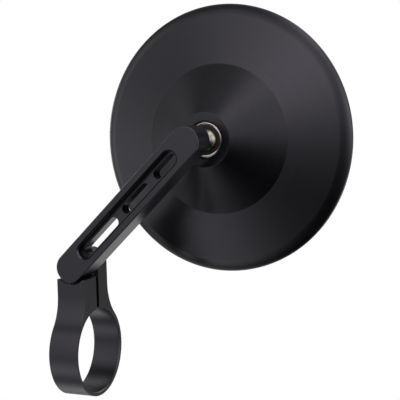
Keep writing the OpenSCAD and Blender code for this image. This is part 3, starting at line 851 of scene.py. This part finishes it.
# %% Steels
blackened, tree, shader = finish_named("ground_steel", Metallic=1.0)
haze = grain(tree, 2.5 * MM, 4)
feed(tree, shader,
     Base_Color=tint(tree, haze, (0.20, 0.185, 0.17), (0.27, 0.25, 0.23)),
     Roughness=0.20 + haze * 0.12)

ringsteel, tree, shader = finish_named("turned_steel", Metallic=1.0)
normal, groove = lathe_normal(tree, pitch=0.05 * MM, lean=0.06)
feed(tree, shader,
     Base_Color=tint(tree, groove, (0.68, 0.67, 0.65), (0.80, 0.79, 0.77)),
     Roughness=0.12 + groove * 0.10,
     Normal=normal)

zinc, tree, shader = finish_named("zinc_plated", Metallic=1.0)
cloud = grain(tree, 1.6 * MM, 3)
feed(tree, shader,
     Base_Color=tint(tree, cloud, (0.56, 0.58, 0.62), (0.66, 0.63, 0.56)),
     Roughness=0.24 + cloud * 0.12)

spring, tree, shader = finish_named("oiled_steel", Metallic=1.0)
cloud = grain(tree, 2 * MM, 3)
feed(tree, shader,
     Base_Color=tint(tree, cloud, (0.27, 0.28, 0.30), (0.42, 0.37, 0.29)),
     Roughness=0.22 + cloud * 0.14)

# %% [markdown]
# The screws have a black oxide: thin, so the steel's gloss comes through it, and mottled. The plug
# that tightens the socket is turned brass, dulled where fingers and a key have touched it.

# %% Black screws and brass
oxide, tree, shader = finish_named("black_oxide", Metallic=0.6)
mottle = grain(tree, 0.6 * MM, 4)
feed(tree, shader,
     Base_Color=tint(tree, mottle, (0.018, 0.018, 0.020), (0.045, 0.043, 0.042)),
     Roughness=0.30 + mottle * 0.16,
     Normal=bumped(tree, mottle, 0.004 * MM))

brass, tree, shader = finish_named("turned_brass", Metallic=1.0)
normal, _ = lathe_normal(tree, pitch=0.12 * MM, lean=0.08)
cloud = grain(tree, 3 * MM, 3)
feed(tree, shader,
     Base_Color=tint(tree, cloud, (0.52, 0.38, 0.16), (0.72, 0.57, 0.28)),
     Roughness=0.20 + cloud * 0.16,
     Normal=normal)

# %% [markdown]
# ## Plastics, foam and the mirror
#
# The seats are moulded in a dark brown bearing plastic, the washer in a white one. Both are smooth
# with the faint unevenness of a moulding. The foam ring behind the glass is a mass of closed cells.
# The silvering of the glass is on its rear face on the real one. Here the whole glass is one bright
# metal, which shows the same picture without a second image, and its ground edge is left matt.

# %% Plastics and foam
brown, tree, shader = finish_named("brown_bearing_plastic", IOR=1.3)
flow = grain(tree, 1.8 * MM, 3)
feed(tree, shader,
     Base_Color=tint(tree, flow, (0.012, 0.007, 0.005), (0.022, 0.012, 0.009)),
     Roughness=0.45 + flow * 0.12,
     Normal=bumped(tree, flow, 0.01 * MM))

white, tree, shader = finish_named("white_bearing_plastic", IOR=1.4)
flow = grain(tree, 1.2 * MM, 3)
feed(tree, shader,
     Base_Color=tint(tree, flow, (0.66, 0.65, 0.61), (0.78, 0.77, 0.73)),
     Roughness=0.42 + flow * 0.12,
     Normal=bumped(tree, flow, 0.008 * MM))

foam, tree, shader = finish_named("closed_foam", IOR=1.45)
cells = node(tree, "ShaderNodeTexVoronoi", {"feature": "F1"},
             {"Vector": object_place(tree), "Scale": 1 / (0.35 * MM)}, "Distance")
feed(tree, shader,
     Base_Color=tint(tree, cells, (0.012, 0.012, 0.012), (0.05, 0.05, 0.05)),
     Roughness=0.75 + cells * 0.2,
     Normal=bumped(tree, cells, 0.08 * MM))

# %% Mirror
silvered, tree, shader = finish_named("silvered_glass", Metallic=1.0)
film = grain(tree, 9 * MM, 4)
feed(tree, shader,
     Base_Color=tint(tree, film, (0.83, 0.86, 0.88), (0.86, 0.89, 0.90)),
     Roughness=0.012 + (film - 0.45).above(0) * 0.05)

groundedge, tree, shader = finish_named("ground_glass_edge", IOR=1.52)
grit = grain(tree, 0.2 * MM, 3)
feed(tree, shader,
     Base_Color=tint(tree, grit, (0.10, 0.15, 0.13), (0.26, 0.33, 0.30)),
     Roughness=0.45 + grit * 0.25,
     Normal=bumped(tree, grit, 0.02 * MM))

# %% Who wears what
def wear(piece, *materials):
    """The piece takes these materials in place of its own."""
    piece.data.materials.clear()
    for material in materials:
        piece.data.materials.append(material)


for piece, material in ((clamp, anodised), (arm, anodised), (head, blackturned),
                        (stud, blackened), (ring, ringsteel), (rear_seat, brown),
                        (pivot_screw, oxide), (clamp_screw, oxide)):
    wear(piece, material)
for name, material in (("clamp_screw_washer", zinc), ("pivot_washer", zinc),
                       ("pivot_spring", spring), ("friction_washer", white),
                       ("front_seat", brown), ("thrust_cup", zinc), ("disc_spring_rear", spring),
                       ("disc_spring_front", spring), ("adjusting_plug", brass),
                       ("glass_pad", foam)):
    wear(frame["nodes"][name], material)
wear(glass, silvered, groundedge)
FACING_ALONG = 0.9      # a face of the glass that faces along the axis less than this is its edge
for face in glass.data.polygons:
    face.material_index = int(abs(face.normal.dot(HEAD_AXIS)) < FACING_ALONG)
print(len(bpy.data.materials), "materials")

# %% [markdown]
# ## Floor and light
#
# The floor is a plain pale disc under the object, just out of the picture, and it keeps the shadow.
# The backdrop is the white that the world shows to the camera. Rays that leave a glossy face
# towards the paper behind the object see its white too, so bright metal has something to show.
# The light itself comes from the world as broad soft lobes, which is what big diffusers round a
# small object look like from it. Lamps with hard edges would draw their own shapes in the turned
# faces. Each lobe is a cosine raised to a power. Together they light every side at a level of about
# one, so that a colour renders about as it is written. The strong ones stand beside and behind the
# object, where a black face throws light at the camera at a low angle. The last and narrowest one
# is what the flat faces of the boss and the arm show the camera. The rest fill in what is left.

# %% Floor
FLOOR_R, FLOOR_X, FLOOR_Z = 280 * MM, 30 * MM, -120 * MM
clear_bench()
bpy.ops.mesh.primitive_circle_add(vertices=96, radius=FLOOR_R, fill_type="NGON",
                                  location=(FLOOR_X, 0, FLOOR_Z))
floor = bpy.context.object
floor.name = "floor"
bpy.ops.object.transform_apply()
paper, tree, shader = finish_named("pale_floor", Roughness=0.8)
fibres = grain(tree, 3 * MM, 3)
feed(tree, shader, Base_Color=tint(tree, fibres, (0.86, 0.86, 0.86), (0.90, 0.90, 0.90)))
wear(floor, paper)
floor.visible_glossy = False

# %% World
def toward(azimuth, elevation):
    """The direction at an azimuth from the front (-Y) towards +X, and an elevation, in degrees."""
    a, e = math.radians(azimuth), math.radians(elevation)
    return (math.sin(a) * math.cos(e), -math.cos(a) * math.cos(e), math.sin(e))


LOBES = [
    # azimuth, elevation, power, strength
    (112, -30, 14, 4.50),
    (-128, 0, 20, 3.55),
    (160, 37, 20, 3.13),
    (44, 56, 20, 3.03),
    (4, 22, 20, 2.67),
    (62, 15, 12, 2.59),
    (-152, -71, 20, 2.45),
    (142, 77, 20, 1.92),
    (87, 8, 20, 1.80),
    (-68, -7, 20, 1.77),
    (-38, -36, 18, 1.65),
    (-21, 10, 20, 1.10),
    (-29, 39, 20, 1.25),
    (-68, 24, 20, 1.11),
    (-132, 58, 20, 1.30),
    (-102, -48, 20, 0.77),
    (-24, -6, 60, 0.45),
]
BACKDROP = (-168, -14, 8)       # azimuth, elevation, power: behind the object for the camera
world = bpy.data.worlds.new("studio")
bpy.context.scene.world = world
world.use_nodes = True
tree = world.node_tree
sky = tree.nodes["Background"]
heading = node(tree, "ShaderNodeTexCoord", out="Generated")


def lobe(azimuth, elevation, power):
    """How far each direction belongs to a soft round patch about this one, from 0 to 1."""
    facing = vector(tree, "DOT_PRODUCT", heading, toward(azimuth, elevation), "Value")
    return facing.above(0) ** power


glow = 0
for azimuth, elevation, power, strength in LOBES:
    glow = lobe(azimuth, elevation, power) * strength + glow
camera_ray, glossy_ray, transmission_ray = (
    node(tree, "ShaderNodeLightPath", out=name)
    for name in ("Is Camera Ray", "Is Glossy Ray", "Is Transmission Ray"))
paper_white = camera_ray + (glossy_ray + transmission_ray) * lobe(*BACKDROP)
tree.links.new((paper_white + (1 - camera_ray) * glow).socket, sky.inputs["Strength"])
sky.inputs["Color"].default_value = (1, 1, 1, 1)
bpy.context.scene.view_settings.view_transform = "Standard"
print("world:", len(LOBES), "soft lobes, and a white backdrop beyond the object")
